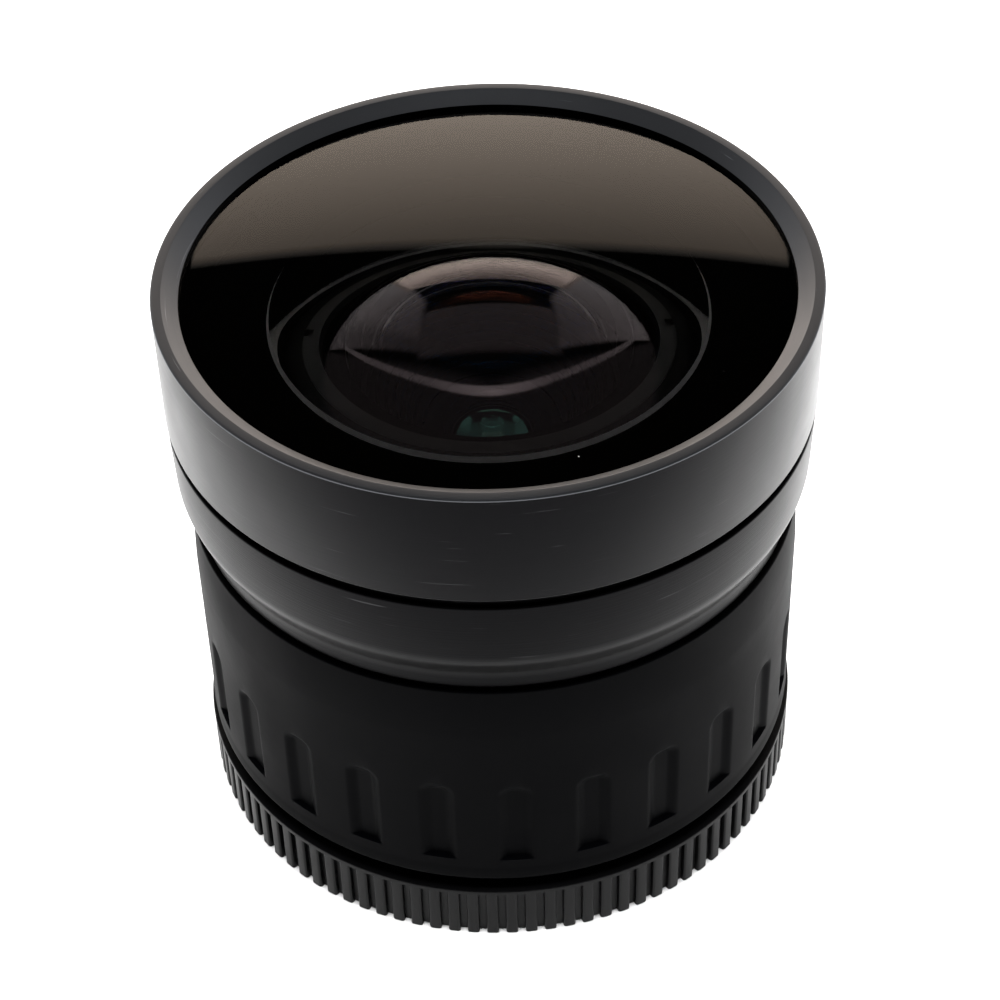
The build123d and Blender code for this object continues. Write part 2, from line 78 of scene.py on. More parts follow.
def softened(corners):
    """Closed outline from (radius, height, round, finish) corners, each rounded by its own arc."""
    points = []
    count = len(corners)
    for number, (radius, height, softness, finish) in enumerate(corners):
        here = Vector((radius, height))
        last = corners[number - 1]
        before = Vector((last[0], last[1])) - here
        following = corners[(number + 1) % count]
        after = Vector((following[0], following[1])) - here
        if softness == 0:
            points.append((radius, height, finish))
            continue
        reach = softness / math.tan(before.angle(after) / 2)
        reach = min(reach, before.length / 2, after.length / 2)
        start = here + before.normalized() * reach
        end = here + after.normalized() * reach
        for step in range(ROUND_STEPS + 1):
            share = step / ROUND_STEPS
            spot = start.lerp(here, share).lerp(here.lerp(end, share), share)
            points.append((spot.x, spot.y, finish))
    return points


def turned(name, points, finishes, angles=None, carve=None, body="lens", stands_for=None):
    """A piece turned on the optical axis from an outline in mm, with one material per side."""
    angles = angles or [2 * math.pi * number / FINE_TURN for number in range(FINE_TURN)]
    verts = []
    rings = []
    for radius, height, finish in points:
        if radius == 0:
            rings.append([len(verts)] * len(angles))
            verts.append((0, 0, height * MM))
            continue
        rings.append(list(range(len(verts), len(verts) + len(angles))))
        for angle in angles:
            reach = carve(radius, height, angle) if carve else radius
            verts.append((reach * math.cos(angle) * MM, reach * math.sin(angle) * MM, height * MM))
    faces = []
    face_finishes = []
    for number, ring in enumerate(rings):
        following = rings[(number + 1) % len(rings)]
        if ring[0] == ring[1] and following[0] == following[1]:
            continue
        for place in range(len(angles)):
            beyond = (place + 1) % len(angles)
            corners = [ring[place], ring[beyond], following[beyond], following[place]]
            faces.append(list(dict.fromkeys(corners)))
            face_finishes.append(points[number][2])
    mesh = bpy.data.meshes.new(name)
    mesh.from_pydata(verts, [], faces)
    for material in finishes:
        mesh.materials.append(material)
    mesh.polygons.foreach_set("material_index", face_finishes)
    mesh.shade_smooth()
    mesh.set_sharp_from_angle(angle=SHARP_CORNER)
    piece = bpy.data.objects.new(name, mesh)
    bpy.context.scene.collection.objects.link(piece)
    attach(piece, body)
    if stands_for:
        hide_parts(stands_for)
    return piece


class Nodes:
    """A node tree, with short ways to add its nodes."""

    def __init__(self, tree):
        self.tree = tree

    def add(self, kind, settings=None, **inputs):
        """A node of that kind. Inputs go by number, as i0, or by name. A socket is joined."""
        node = self.tree.nodes.new(kind)
        for key, value in (settings or {}).items():
            setattr(node, key, value)
        for key, value in inputs.items():
            number = key[1:]
            place = int(number) if number.isdigit() else key.replace("_", " ")
            socket = node.inputs[place]
            if isinstance(value, bpy.types.NodeSocket):
                self.tree.links.new(value, socket)
            else:
                socket.default_value = value
        return node

    def sum(self, operation, *values):
        """One step of arithmetic on numbers or sockets."""
        inputs = {f"i{number}": value for number, value in enumerate(values)}
        return self.add("ShaderNodeMath", {"operation": operation}, **inputs).outputs[0]

    def spread(self, value, low, high, to_low=0.0, to_high=1.0):
        """Maps a value from one range to another."""
        limits = {"From_Min": low, "From_Max": high, "To_Min": to_low, "To_Max": to_high}
        return self.add("ShaderNodeMapRange", Value=value, **limits).outputs["Result"]

    def blend(self, share, first, second):
        """A colour between two, from a share of 0 to 1."""
        node = self.add("ShaderNodeMix", {"data_type": "RGBA"})
        self.tree.links.new(share, node.inputs[0])
        for socket, value in zip(node.inputs[6:8], (first, second)):
            socket.default_value = (*value, 1)
        return node.outputs[2]

    def noise(self, scale, detail=2.0, place=None):
        """A cloudy pattern, most of it between 0.3 and 0.7."""
        place = place or self.add("ShaderNodeTexCoord").outputs["Object"]
        return self.add("ShaderNodeTexNoise", Vector=place, Scale=scale, Detail=detail).outputs[0]

    def uneven(self, cloud, low, high):
        """A number that drifts between two limits as a noise does."""
        return self.spread(cloud, 0.3, 0.7, low, high)


class Finish(Nodes):
    """One material on the principled shader."""

    def __init__(self, name, colour, roughness, **sockets):
        self.material = bpy.data.materials.new(name)
        self.material.use_nodes = True
        super().__init__(self.material.node_tree)
        self.shader = self.tree.nodes["Principled BSDF"]
        self.shader.inputs["Base Color"].default_value = (*colour, 1)
        self.shader.inputs["Roughness"].default_value = roughness
        for socket, value in sockets.items():
            self.shader.inputs[socket.replace("_", " ")].default_value = value

    def join(self, socket, name):
        self.tree.links.new(socket, self.shader.inputs[name])

    def along_turn(self, fineness, drift):
        """A noise that changes fast along the outline and slowly round the axis."""
        place = self.add("ShaderNodeTexCoord").outputs["Object"]
        split = self.add("ShaderNodeSeparateXYZ", i0=place).outputs
        flat = self.add("ShaderNodeCombineXYZ", i0=split[0], i1=split[1]).outputs[0]
        length = self.add("ShaderNodeVectorMath", {"operation": "LENGTH"}, i0=flat)
        outline = self.add("ShaderNodeCombineXYZ", i0=length.outputs["Value"], i1=split[2])
        scale = {"operation": "SCALE"}
        across = self.add("ShaderNodeVectorMath", scale, i0=outline.outputs[0], Scale=fineness)
        around = self.add("ShaderNodeVectorMath", scale, i0=flat, Scale=drift)
        total = self.add("ShaderNodeVectorMath", i0=across.outputs[0], i1=around.outputs[0])
        return self.noise(1.0, 3.0, total.outputs[0])

    def bump(self, height, strength, distance):
        node = self.add("ShaderNodeBump", Height=height, Strength=strength, Distance=distance)
        self.join(node.outputs["Normal"], "Normal")


def anodised(name, colour, roughness, marks_strength=0.12, edge=1.0, metal=1.0):
    """Black anodised aluminium with lathe marks, uneven gloss and a few fine scratches."""
    finish = Finish(name, colour, roughness, Metallic=metal, Specular_Tint=(edge, edge, edge, 1))
    marks = finish.along_turn(fineness=5000, drift=60)
    cloud = finish.noise(45.0, 4.0)
    gloss = finish.uneven(cloud, roughness - 0.07, roughness + 0.04)
    finish.join(finish.sum("MULTIPLY_ADD", marks, 0.08, gloss), "Roughness")
    # Only the peaks of a second noise show, as short paler scratches.
    scratch = finish.spread(finish.along_turn(fineness=2600, drift=90), 0.68, 0.74)
    worn = [min(1.0, part * 3.0 + 0.01) for part in colour]
    finish.join(finish.blend(scratch, colour, worn), "Base Color")
    finish.bump(marks, marks_strength, 0.00004)
    return finish.material


hood_low, hood_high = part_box("hood_ring")
hood_radius = hood_high.x / MM
hood_bottom = hood_low.z / MM
hood_top = hood_high.z / MM
hood_wall = 1.7
rim_land = 1.35
rim_bevel_width = 2.05
rim_bevel_fall = 1.35
hood_lip = 1.92
mouth_radius = hood_radius - rim_land - rim_bevel_width
hood_bore = hood_radius - hood_wall
glass_seat = hood_top - hood_lip
hood_black = anodised("hood_black", (0.0040, 0.0040, 0.0044), 0.35)
# The rim's land and bevel get a lighter copy of the hood's black: a painted highlight where the rim
# faces the light from above.
rim_painted_highlight = anodised("rim_painted_highlight", (0.076, 0.079, 0.086), 0.35, metal=0.95)
hood_ring = turned(
    "hood_ring_turned",
    softened(
        [
            (hood_bore, hood_bottom, 0.1, 0),
            (hood_radius, hood_bottom, 0.2, 0),
            (hood_radius, hood_top, 0.3, 1),
            (hood_radius - rim_land, hood_top, 0.12, 1),
            (mouth_radius, hood_top - rim_bevel_fall, 0.12, 0),
            (mouth_radius, glass_seat, 0, 0),
            (hood_bore, glass_seat, 0, 0),
        ]
    ),
    [hood_black, rim_painted_highlight],
    stands_for="hood_ring",
)


# The front element: a wide coated meniscus, nearly flat in front, with a deep bowl behind. Its
# edge and its flat rear face are painted black, and the bevel round the bowl is ground grey.
GLASS_STEPS = 48


def spherical(apex, edge, half_width, finish):
    """Outline of a lens surface from its apex on the axis towards its edge."""
    rise = apex - edge
    curve = (rise**2 + half_width**2) / (2 * rise)
    widest = math.asin(half_width / abs(curve))
    points = []
    for step in range(GLASS_STEPS):
        angle = widest * step / GLASS_STEPS
        fall = curve * (1 - math.cos(angle))
        points.append((abs(curve) * math.sin(angle), apex - fall, finish))
    return points


def inwards(points):
    """The same outline, walked from the edge to the axis."""
    return list(reversed(points))


def coated_glass(name, colour, reflection, level=0.5, film=0.0):
    """Polished glass whose coating tints what it reflects, with a little dust on it."""
    finish = Finish(
        name,
        colour,
        0.0,
        Transmission_Weight=1.0,
        IOR=1.52,
        Specular_IOR_Level=level,
        Specular_Tint=(*reflection, 1),
        Thin_Film_Thickness=film,
        Thin_Film_IOR=1.23,
    )
    place = finish.add("ShaderNodeTexCoord").outputs["Object"]
    # A speck of dust lies in the middle of about one cell in a hundred.
    cells = finish.add("ShaderNodeTexVoronoi", Vector=place, Scale=500.0)
    near = finish.spread(cells.outputs["Distance"], 0.03, 0.05, 1.0, 0.0)
    chance = finish.add("ShaderNodeSeparateXYZ", i0=cells.outputs["Color"]).outputs[0]
    speck = finish.sum("MULTIPLY", near, finish.spread(chance, 0.985, 0.99))
    finish.join(finish.spread(speck, 0.0, 1.0, 1.0, 0.7), "Transmission Weight")
    finish.join(finish.sum("MULTIPLY", speck, 0.6), "Roughness")
    return finish.material


def matt_black(name, value, roughness, specular=0.3):
    """Dull black paint or blackened metal with a faint unevenness."""
    finish = Finish(name, (value,) * 3, roughness, Specular_IOR_Level=specular)
    cloud = finish.noise(300.0, 4.0)
    finish.join(finish.blend(cloud, (value * 0.7,) * 3, (value * 1.3,) * 3), "Base Color")
    finish.bump(finish.noise(4000.0, 2.0), 0.2, 0.00002)
    return finish.material


front_rise = 1.71
front_thickness = 2.69
front_edge = 9.78
rear_land = 12.45
bowl_bevel = 0.3
bowl_bevel_height = 1.25
front_radius = hood_bore - 0.15
front_apex = glass_seat + front_rise
front_rear = glass_seat - front_edge
bowl_apex = front_apex - front_thickness
bowl_radius = front_radius - rear_land
bowl_mouth = bowl_radius - bowl_bevel
bowl_mouth_z = front_rear + bowl_bevel_height
front_glass = coated_glass("front_glass", (0.99, 0.98, 0.96), (1.0, 0.90, 0.78))
bowl_glass = coated_glass("bowl_glass", (0.99, 0.98, 0.96), (1.0, 0.80, 0.84), 0.42)
edge_paint = Finish("edge_paint", (0.0006, 0.0006, 0.0006), 0.6, Specular_IOR_Level=0.0)
edge_cloud = edge_paint.noise(300.0, 4.0)
edge_paint.join(edge_paint.blend(edge_cloud, (0.0004,) * 3, (0.0008,) * 3), "Base Color")
ground_glass = Finish("ground_glass", (0.90, 0.90, 0.92), 0.65)
grain = ground_glass.noise(2500.0, 4.0)
ground_glass.join(ground_glass.blend(grain, (0.85, 0.85, 0.87), (0.95, 0.95, 0.97)), "Base Color")
front_element = turned(
    "front_element_turned",
    spherical(bowl_apex, bowl_mouth_z, bowl_mouth, 3)
    + [
        (bowl_mouth, bowl_mouth_z, 2),
        (bowl_radius, front_rear, 1),
        (front_radius, front_rear, 1),
        (front_radius, glass_seat, 1),
        (mouth_radius, glass_seat, 0),
    ]
    + inwards(spherical(front_apex, glass_seat, mouth_radius, 0)),
    [front_glass, edge_paint.material, ground_glass.material, bowl_glass],
    stands_for="front_element",
)


# The front seal: a flat ring of black rubber, cut from sheet. It is squeezed between the
# front glass and the barrel, and keeps dust and damp out.
def finish_node(node, material):
    """Gives a carried-over solid its finish."""
    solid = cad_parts[node]
    solid.data.materials.clear()
    solid.data.materials.append(material)


finish_node("front_seal", matt_black("seal_rubber", 0.01, 0.85))


# The barrel: one turned and anodised aluminium piece. A groove parts it from the hood, then
# a plain band and a short cone run in to an upright neck, which ends just above the sleeve.
barrel_low, barrel_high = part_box("barrel")
barrel_top_radius = barrel_high.x / MM
barrel_end = barrel_low.z / MM
barrel_foot = 46.0
barrel_neck_top = barrel_foot + 2.7
barrel_break = barrel_foot + 6.45
barrel_break_radius = barrel_top_radius - 0.35
barrel_foot_radius = barrel_break_radius - 2.05
barrel_tube_radius = barrel_foot_radius - 1.0
barrel_bore = barrel_tube_radius - 2.4
groove_height = 1.3
groove_radius = barrel_top_radius - 0.8
barrel_top = hood_bottom - groove_height
slip_fit = 0.05
hood_spigot_radius = hood_bore - slip_fit
seal_height = 0.5
seal_seat = front_rear - seal_height
web_top = 61.68
web_bore = 30.0
web_height = 3.0
barrel_black = anodised(
    "barrel_black", (0.0042, 0.0042, 0.0045), 0.32, marks_strength=0.35, edge=0.8
)
barrel = turned(
    "barrel_turned",
    softened(
        [
            (barrel_bore, barrel_end, 0, 0),
            (barrel_tube_radius, barrel_end, 0, 0),
            (barrel_tube_radius, barrel_foot, 0, 0),
            (barrel_foot_radius, barrel_foot, 0.5, 0),
            (barrel_foot_radius, barrel_neck_top, 4.0, 0),
            (barrel_break_radius, barrel_break, 5.0, 0),
            (barrel_top_radius, barrel_top, 0.35, 0),
            (groove_radius, barrel_top, 0.08, 0),
            (groove_radius, hood_bottom, 0, 0),
            (hood_spigot_radius, hood_bottom, 0, 0),
            (hood_spigot_radius, seal_seat, 0, 0),
            (barrel_bore, seal_seat, 0, 0),
            (barrel_bore, web_top, 0, 0),
            (web_bore, web_top, 0, 0),
            (web_bore, web_top - web_height, 0, 0),
            (barrel_bore, web_top - web_height, 0, 0),
        ]
    ),
    [barrel_black],
    stands_for="barrel",
)


# The second element: a strongly domed glass meniscus, ground, polished and coated. A ring on
# its shoulder holds it in its cell.
second_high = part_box("second_element")[1]
second_radius = second_high.x / MM
second_apex = second_high.z / MM
second_clear = second_radius - 0.9
second_bowl = second_radius - 5.7
second_seat = second_apex - 9.63
second_bowl_apex = second_apex - 4.0
second_rear = second_bowl_apex - 9.7
second_glass = coated_glass("second_glass", (0.99, 0.985, 0.97), (0.12, 0.08, 0.10), film=165.0)
second_element = turned(
    "second_element_turned",
    spherical(second_bowl_apex, second_rear, second_bowl, 0)
    + [
        (second_bowl, second_rear, 1),
        (second_radius, second_rear, 1),
        (second_radius, second_seat, 1),
        (second_clear, second_seat, 0),
    ]
    + inwards(spherical(second_apex, second_seat, second_clear, 0)),
    [second_glass, edge_paint.material],
    stands_for="second_element",
)


# The metal round the inner glass: cell, rings, tube, baffle and stop. All are turned from
# aluminium and blackened dull. The ring round the dome has a faint sheen and a lighter black,
# painted light.
blackened = matt_black("blackened", 0.0015, 0.6, 0.08)
inner_metal = (
    "lens_cell",
    "cell_lock_ring",
    "rear_tube",
    "middle_baffle",
    "third_retainer",
    "stop_spacer",
    "rear_retainer",
)
for node in inner_metal:
    finish_node(node, blackened)
# The ring round the dome gets a lighter black: painted light, standing in for the light that falls
# on it through the front glass.
retainer_painted_glow = matt_black("retainer_painted_glow", 0.007, 0.5, 0.2)
finish_node("second_retainer", retainer_painted_glow)


# The third element: a small meniscus, deep in the waist of the rear tube. Its retaining ring
# presses on a black-painted shoulder, round the raised and gently curved front face.
third_low, third_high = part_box("third_element")
third_radius = third_high.x / MM
third_rear = third_low.z / MM
third_apex = third_rear + 7.7
third_clear = third_radius - 1.2
third_bowl = third_radius - 4.7
third_seat = third_apex - 6.67
third_face = third_apex - 2.4
third_bowl_apex = third_apex - 2.0
third_glass = coated_glass("third_glass", (0.99, 0.99, 0.98), (0.35, 0.95, 0.85))
third_element = turned(
    "third_element_turned",
    spherical(third_bowl_apex, third_rear, third_bowl, 0)
    + [
        (third_bowl, third_rear, 1),
        (third_radius, third_rear, 1),
        (third_radius, third_seat, 1),
        (third_clear, third_seat, 1),
        (third_clear, third_face, 0),
    ]
    + inwards(spherical(third_apex, third_face, third_clear, 0)),
    [third_glass, edge_paint.material],
    stands_for="third_element",
)


# The rear doublet: a crown glass cemented on a flint glass, behind the stop. Its coatings
# give the faint green and blue reflections deep in the lens.
crown_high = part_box("doublet_crown")[1]
flint_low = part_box("doublet_flint")[0]
doublet_radius = crown_high.x / MM
crown_apex = crown_high.z / MM
crown_seat = crown_apex - 3.63
cement_edge = crown_seat - 1.5
cement_fall = 4.85
cement_gap = 0.02
flint_seat = cement_edge - 6.0
flint_apex = flint_low.z / MM
crown_clear = doublet_radius - 1.3
flint_clear = doublet_radius - 1.9
crown_glass = coated_glass("crown_glass", (0.98, 0.99, 0.98), (0.55, 1.0, 0.80))
doublet_crown = turned(
    "doublet_crown_turned",
    spherical(cement_edge - cement_fall, cement_edge, doublet_radius, 0)
    + [
        (doublet_radius, cement_edge, 1),
        (doublet_radius, crown_seat, 1),
        (crown_clear, crown_seat, 0),
    ]
    + inwards(spherical(crown_apex, crown_seat, crown_clear, 0)),
    [crown_glass, edge_paint.material],
    stands_for="doublet_crown",
)
flint_glass = coated_glass("flint_glass", (0.97, 0.98, 0.99), (0.60, 0.85, 1.0))
flint_top = cement_edge - cement_gap
doublet_flint = turned(
    "doublet_flint_turned",
    spherical(flint_apex, flint_seat, flint_clear, 0)
    + [
        (flint_clear, flint_seat, 1),
        (doublet_radius, flint_seat, 1),
        (doublet_radius, flint_top, 0),
    ]
    + inwards(spherical(flint_top - cement_fall, flint_top, doublet_radius, 0)),
    [flint_glass, edge_paint.material],
    stands_for="doublet_flint",
)


# The grip sleeve: a moulded plastic shell over the barrel's tube, with 25 shallow flutes. Each
# flute has soft flanks, a round top and a ledge at its foot.
sleeve_low, sleeve_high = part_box("grip_sleeve")
sleeve_radius = sleeve_high.x / MM
sleeve_bottom = sleeve_low.z / MM
sleeve_foot = sleeve_bottom - 0.4
sleeve_top = barrel_foot - 0.08
sleeve_top_draft = 0.3
sleeve_draft_low = sleeve_high.z / MM - 7
sleeve_foot_flare = 0.2
sleeve_foot_height = 2.4
sleeve_bore = sleeve_radius - 1.85
sleeve_lip_bore = sleeve_bore - 1.2
sleeve_lip_low = sleeve_bottom + 2.3
sleeve_lip_high = sleeve_lip_low + 1.2
flute_count = 25
flute_turn = math.radians(2.2 - 90)
flute_half_width = 2.5
flute_bottom = sleeve_bottom + 3.6
flute_top = flute_bottom + 14.4
flute_depth = 0.7
flute_flank = 1.6
flute_ledge = 0.2
flute_round = 2.1
flute_pitch = 2 * math.pi / flute_count
# Places across a flute, in mm from its middle, close together on its flanks.
flute_places = [-3.5, -3.0] + [-2.7 + 0.18 * step for step in range(12)] + [-0.3]
flute_places += [-place for place in reversed(flute_places)]
land_turn = 0.8 / sleeve_radius
flute_angles = []
for number in range(flute_count):
    middle = flute_turn + number * flute_pitch
    flute_angles += [middle + place / sleeve_radius for place in flute_places]
    land_middle = middle + flute_pitch / 2
    flute_angles += [land_middle - land_turn, land_middle, land_middle + land_turn]


def flute_carve(radius, height, angle):
    """The sleeve's outer radius, less the depth of the flute that is there."""
    if radius < sleeve_radius - 0.01 or not flute_bottom < height < flute_top:
        return radius
    turn_in_pitch = (angle - flute_turn + flute_pitch / 2) % flute_pitch - flute_pitch / 2
    from_side = flute_half_width - abs(turn_in_pitch * sleeve_radius)
    from_top = flute_top - height
    if from_side <= 0:
        return radius
    inside = min(from_side, from_top)
    if from_side < flute_round and from_top < flute_round:
        inside = flute_round - math.hypot(flute_round - from_side, flute_round - from_top)
    share = min(max(inside / flute_flank, 0), 1)
    share = share * share * (3 - 2 * share)
    ledge_share = min((height - flute_bottom) / flute_ledge, 1)
    return radius - flute_depth * share * ledge_share


sleeve_plastic = Finish("sleeve_plastic", (0.0008, 0.0009, 0.0012), 0.5, Specular_IOR_Level=0.018)
skin = sleeve_plastic.noise(900.0, 3.0)
sleeve_cloud = sleeve_plastic.noise(60.0, 4.0)
sleeve_plastic.join(sleeve_plastic.uneven(sleeve_cloud, 0.44, 0.56), "Roughness")
sleeve_tone = sleeve_plastic.blend(sleeve_cloud, (0.0004, 0.0004, 0.0007), (0.0007, 0.0008, 0.0011))
sleeve_plastic.join(sleeve_tone, "Base Color")
sleeve_plastic.bump(skin, 0.25, 0.00004)
# Heights of the rows of points on the flutes, close together at the ledge and the round top.
sleeve_rows = [flute_bottom - 0.4, flute_bottom - 0.02]
sleeve_rows += [flute_bottom + 0.05 + flute_ledge * step / 4 for step in range(6)]
sleeve_rows += [flute_bottom + 1.2 + 1.2 * step for step in range(8)]
sleeve_rows += [flute_top - 3.4 + 0.2 * step for step in range(18)]
sleeve_rows += [flute_top + 2.0 + 4.0 * step for step in range(2)]
sleeve_outline = softened(
    [
        (sleeve_bore, sleeve_foot, 0.1, 0),
        (sleeve_radius + sleeve_foot_flare, sleeve_foot, 0.9, 0),
        (sleeve_radius, sleeve_foot + sleeve_foot_height, 8.0, 0),
        (sleeve_radius, sleeve_draft_low, 20.0, 0),
        (sleeve_radius - sleeve_top_draft, sleeve_top, 0.35, 0),
        (sleeve_bore, sleeve_top, 0.1, 0),
        (sleeve_bore, sleeve_lip_high, 0, 0),
        (sleeve_lip_bore, sleeve_lip_high, 0, 0),
        (sleeve_lip_bore, sleeve_lip_low, 0, 0),
        (sleeve_bore, sleeve_lip_low, 0, 0),
    ]
)
foot_points = 3 * (ROUND_STEPS + 1)
sleeve_outline[foot_points:foot_points] = [(sleeve_radius, height, 0) for height in sleeve_rows]
grip_sleeve = turned(
    "grip_sleeve_moulded",
    sleeve_outline,
    [sleeve_plastic.material],
    angles=flute_angles,
    carve=flute_carve,
    stands_for="grip_sleeve",
)


# The mount ring: aluminium, blackened. Its flange sits under the sleeve, its spigot in the
# barrel, and its neck has the fine outer thread that screws into a camera lens.
mount_low, mount_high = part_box("mount_ring")
flange_radius = mount_high.x / MM
neck_end = mount_low.z / MM
flange_bottom = sleeve_bottom + 0.3
flange_top = flange_bottom + 2.0
spigot_top = mount_high.z / MM
thread_radius = flange_radius - 2.2
neck_bore = thread_radius - 2.8
thread_pitch = 0.75
thread_depth = 0.4
thread_top = flange_bottom - 0.5
rows_in_pitch = 8
spigot_radius = barrel_bore - slip_fit
spigot_bore = barrel_bore - 2.4
plate_seat_bore = neck_bore - 3.7
plate_seat_top = flange_top + 1.8
plate_seat_bottom = flange_bottom + 1.8


def thread_carve(radius, height, angle):
    """The neck's outer radius with its screw thread cut in."""
    if radius < thread_radius - 0.01 or radius > thread_radius + 0.01 or height > thread_top:
        return radius
    along = (height / thread_pitch - angle / (2 * math.pi)) % 1
    return radius - thread_depth * abs(2 * along - 1)


mount_black = anodised("mount_black", (0.003, 0.003, 0.003), 0.45)
thread_rows = int((thread_top - neck_end) / thread_pitch * rows_in_pitch)
mount_outline = softened(
    [
        (neck_bore, neck_end, 0.2, 0),
        (thread_radius, neck_end, 0, 0),
        (thread_radius, flange_bottom, 0, 0),
        (flange_radius, flange_bottom, 0.15, 0),
        (flange_radius, flange_top, 0, 0),
        (spigot_radius, flange_top, 0, 0),
        (spigot_radius, spigot_top, 0.2, 0),
        (spigot_bore, spigot_top, 0.2, 0),
        (spigot_bore, plate_seat_top, 0, 0),
        (plate_seat_bore, plate_seat_top, 0, 0),
        (plate_seat_bore, plate_seat_bottom, 0, 0),
        (neck_bore, plate_seat_bottom, 0, 0),
    ]
)
thread_start = ROUND_STEPS + 2
mount_outline[thread_start:thread_start] = [
    (thread_radius, neck_end + (thread_top - neck_end) * step / thread_rows, 0)
    for step in range(1, thread_rows + 1)
]
mount_ring = turned(
    "mount_ring_turned",
    mount_outline,
    [mount_black],
    carve=thread_carve,
    stands_for="mount_ring",
)


# The rear plate: a flat ring of blackened aluminium that closes the space round the rear
# tube. Three small screws hold it on the mount ring's inner step.
finish_node("rear_plate", blackened)


# The small screws: black steel. Three hold the rear plate, and three grub screws in the
# cell lock the rear tube.
screw_steel = Finish("screw_steel", (0.05, 0.05, 0.052), 0.35, Metallic=1.0)
screw_steel.join(screw_steel.uneven(screw_steel.noise(800.0), 0.28, 0.45), "Roughness")
finish_node("plate_screws", screw_steel.material)
finish_node("tube_grub_screws", screw_steel.material)


# The rear cap: moulded black plastic with 99 round-shouldered ribs, a plain edge above them
# and a threaded collar inside. It screws on the neck and is what the lens stands on.
cap_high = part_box("rear_cap")[1]
cap_radius = cap_high.x / MM
cap_height = cap_high.z / MM
cap_wall = 2.5
cap_floor = 2.2
cap_recess_radius = cap_radius - 3.0
cap_recess = 0.5
cap_edge = 0.7
collar_bore = thread_radius + 0.08
collar_radius = collar_bore + 1.5
collar_top = cap_height - 0.7
stop_bore = collar_bore - 1.1
stop_top = 4.9
rib_count = 99
rib_pitch = 2 * math.pi / rib_count
groove_half = 0.475
groove_cut = 0.7
rib_round = 0.35
rib_top = cap_height - cap_edge
# Places across a groove, in mm from its middle, close together on the ribs' round shoulders.
groove_places = [0.3, groove_half] + [groove_half + step for step in (0.04, 0.12, 0.22, 0.35)]
groove_places = [-place for place in reversed(groove_places)] + [0.0] + groove_places
rib_angles = []
for number in range(rib_count):
    rib_angles += [number * rib_pitch + place / cap_radius for place in groove_places]
    rib_angles.append((number + 0.5) * rib_pitch)


def rib_carve(radius, height, angle):
    """The cap's outer radius with the grooves between its ribs cut in."""
    if radius < cap_radius - 0.5 or height > rib_top:
        return radius
    from_groove = abs((angle + rib_pitch / 2) % rib_pitch - rib_pitch / 2) * cap_radius
    if from_groove <= groove_half + 0.001:
        return radius - groove_cut
    past = from_groove - groove_half
    if past >= rib_round:
        return radius
    return radius - rib_round + math.sqrt(rib_round**2 - (rib_round - past) ** 2)


cap_plastic = Finish("cap_plastic", (0.002, 0.002, 0.0022), 0.35, Specular_IOR_Level=0.11)
cap_cloud = cap_plastic.noise(80.0, 4.0)
cap_plastic.join(cap_plastic.uneven(cap_cloud, 0.34, 0.46), "Roughness")
cap_tone = cap_plastic.blend(cap_cloud, (0.0010, 0.0010, 0.0012), (0.0022, 0.0022, 0.0024))
cap_plastic.join(cap_tone, "Base Color")
cap_plastic.bump(cap_plastic.noise(1200.0, 3.0), 0.2, 0.00004)
rear_cap = turned(
    "rear_cap_moulded",
    [(0, cap_recess, 0), (cap_recess_radius, cap_recess, 0)]
    + softened(
        [
            (cap_recess_radius, 0, 0, 0),
            (cap_radius, 0, 0.25, 0),
            (cap_radius, rib_top, 0, 0),
            (cap_radius, rib_top + 0.01, 0, 0),
            (cap_radius, cap_height, 0.2, 0),
            (cap_radius - cap_wall, cap_height, 0.2, 0),
            (cap_radius - cap_wall, cap_floor, 0, 0),
            (collar_radius, cap_floor, 0, 0),
            (collar_radius, collar_top, 0.1, 0),
            (collar_bore, collar_top, 0.1, 0),
            (collar_bore, stop_top, 0, 0),
            (stop_bore, stop_top, 0, 0),
            (stop_bore, cap_floor, 0, 0),
        ]
    )
    + [(0, cap_floor, 0)],
    [cap_plastic.material],
    angles=rib_angles,
    carve=rib_carve,
    body="rear_cap",
    stands_for="rear_cap",
)


# The table: a plain, pale, matt surface that the lens stands on. It is stage, and no part
# of the lens.
table_half = 3.0
table_corners = [
    (-table_half, -table_half, 0),
    (table_half, -table_half, 0),
    (table_half, table_half, 0),
    (-table_half, table_half, 0),
]
table_mesh = bpy.data.meshes.new("table")
table_mesh.from_pydata(table_corners, [], [(0, 1, 2, 3)])
table = bpy.data.objects.new("table", table_mesh)
bpy.context.scene.collection.objects.link(table)
pale = Finish("table_white", (0.86, 0.86, 0.86), 0.9, Specular_IOR_Level=0.1)
pale.join(pale.blend(pale.noise(8.0, 2.0), (0.85, 0.85, 0.85), (0.87, 0.87, 0.87)), "Base Color")
table_mesh.materials.append(pale.material)


# The light: a white light tent. Its bright back wall, two side walls and dim ceiling, and the
# slit above the camera, show in the glass as they do in the photograph. The gaps are dark.
studio = bpy.data.worlds.new("studio")
studio.use_nodes = True
bpy.context.scene.world = studio
bpy.context.scene.view_settings.view_transform = "Standard"
sky = Nodes(studio.node_tree)
outwards = sky.add("ShaderNodeTexCoord").outputs["Generated"]
direction = sky.add("ShaderNodeSeparateXYZ", i0=outwards).outputs
across, along, height = direction[0], direction[1], direction[2]

# Places on the ceiling and on the back wall, as shares of their distance from the lens. Each
# edge below is a pair: where it begins and where it ends.
smallest = 0.001
over = sky.sum("MAXIMUM", height, smallest)
ceiling_side = sky.sum("ABSOLUTE", sky.sum("DIVIDE", across, over))
ceiling_back = sky.sum("DIVIDE", along, over)
behind = sky.sum("MAXIMUM", along, smallest)
wall_side = sky.sum("DIVIDE", across, behind)
wall_height = sky.sum("DIVIDE", height, behind)

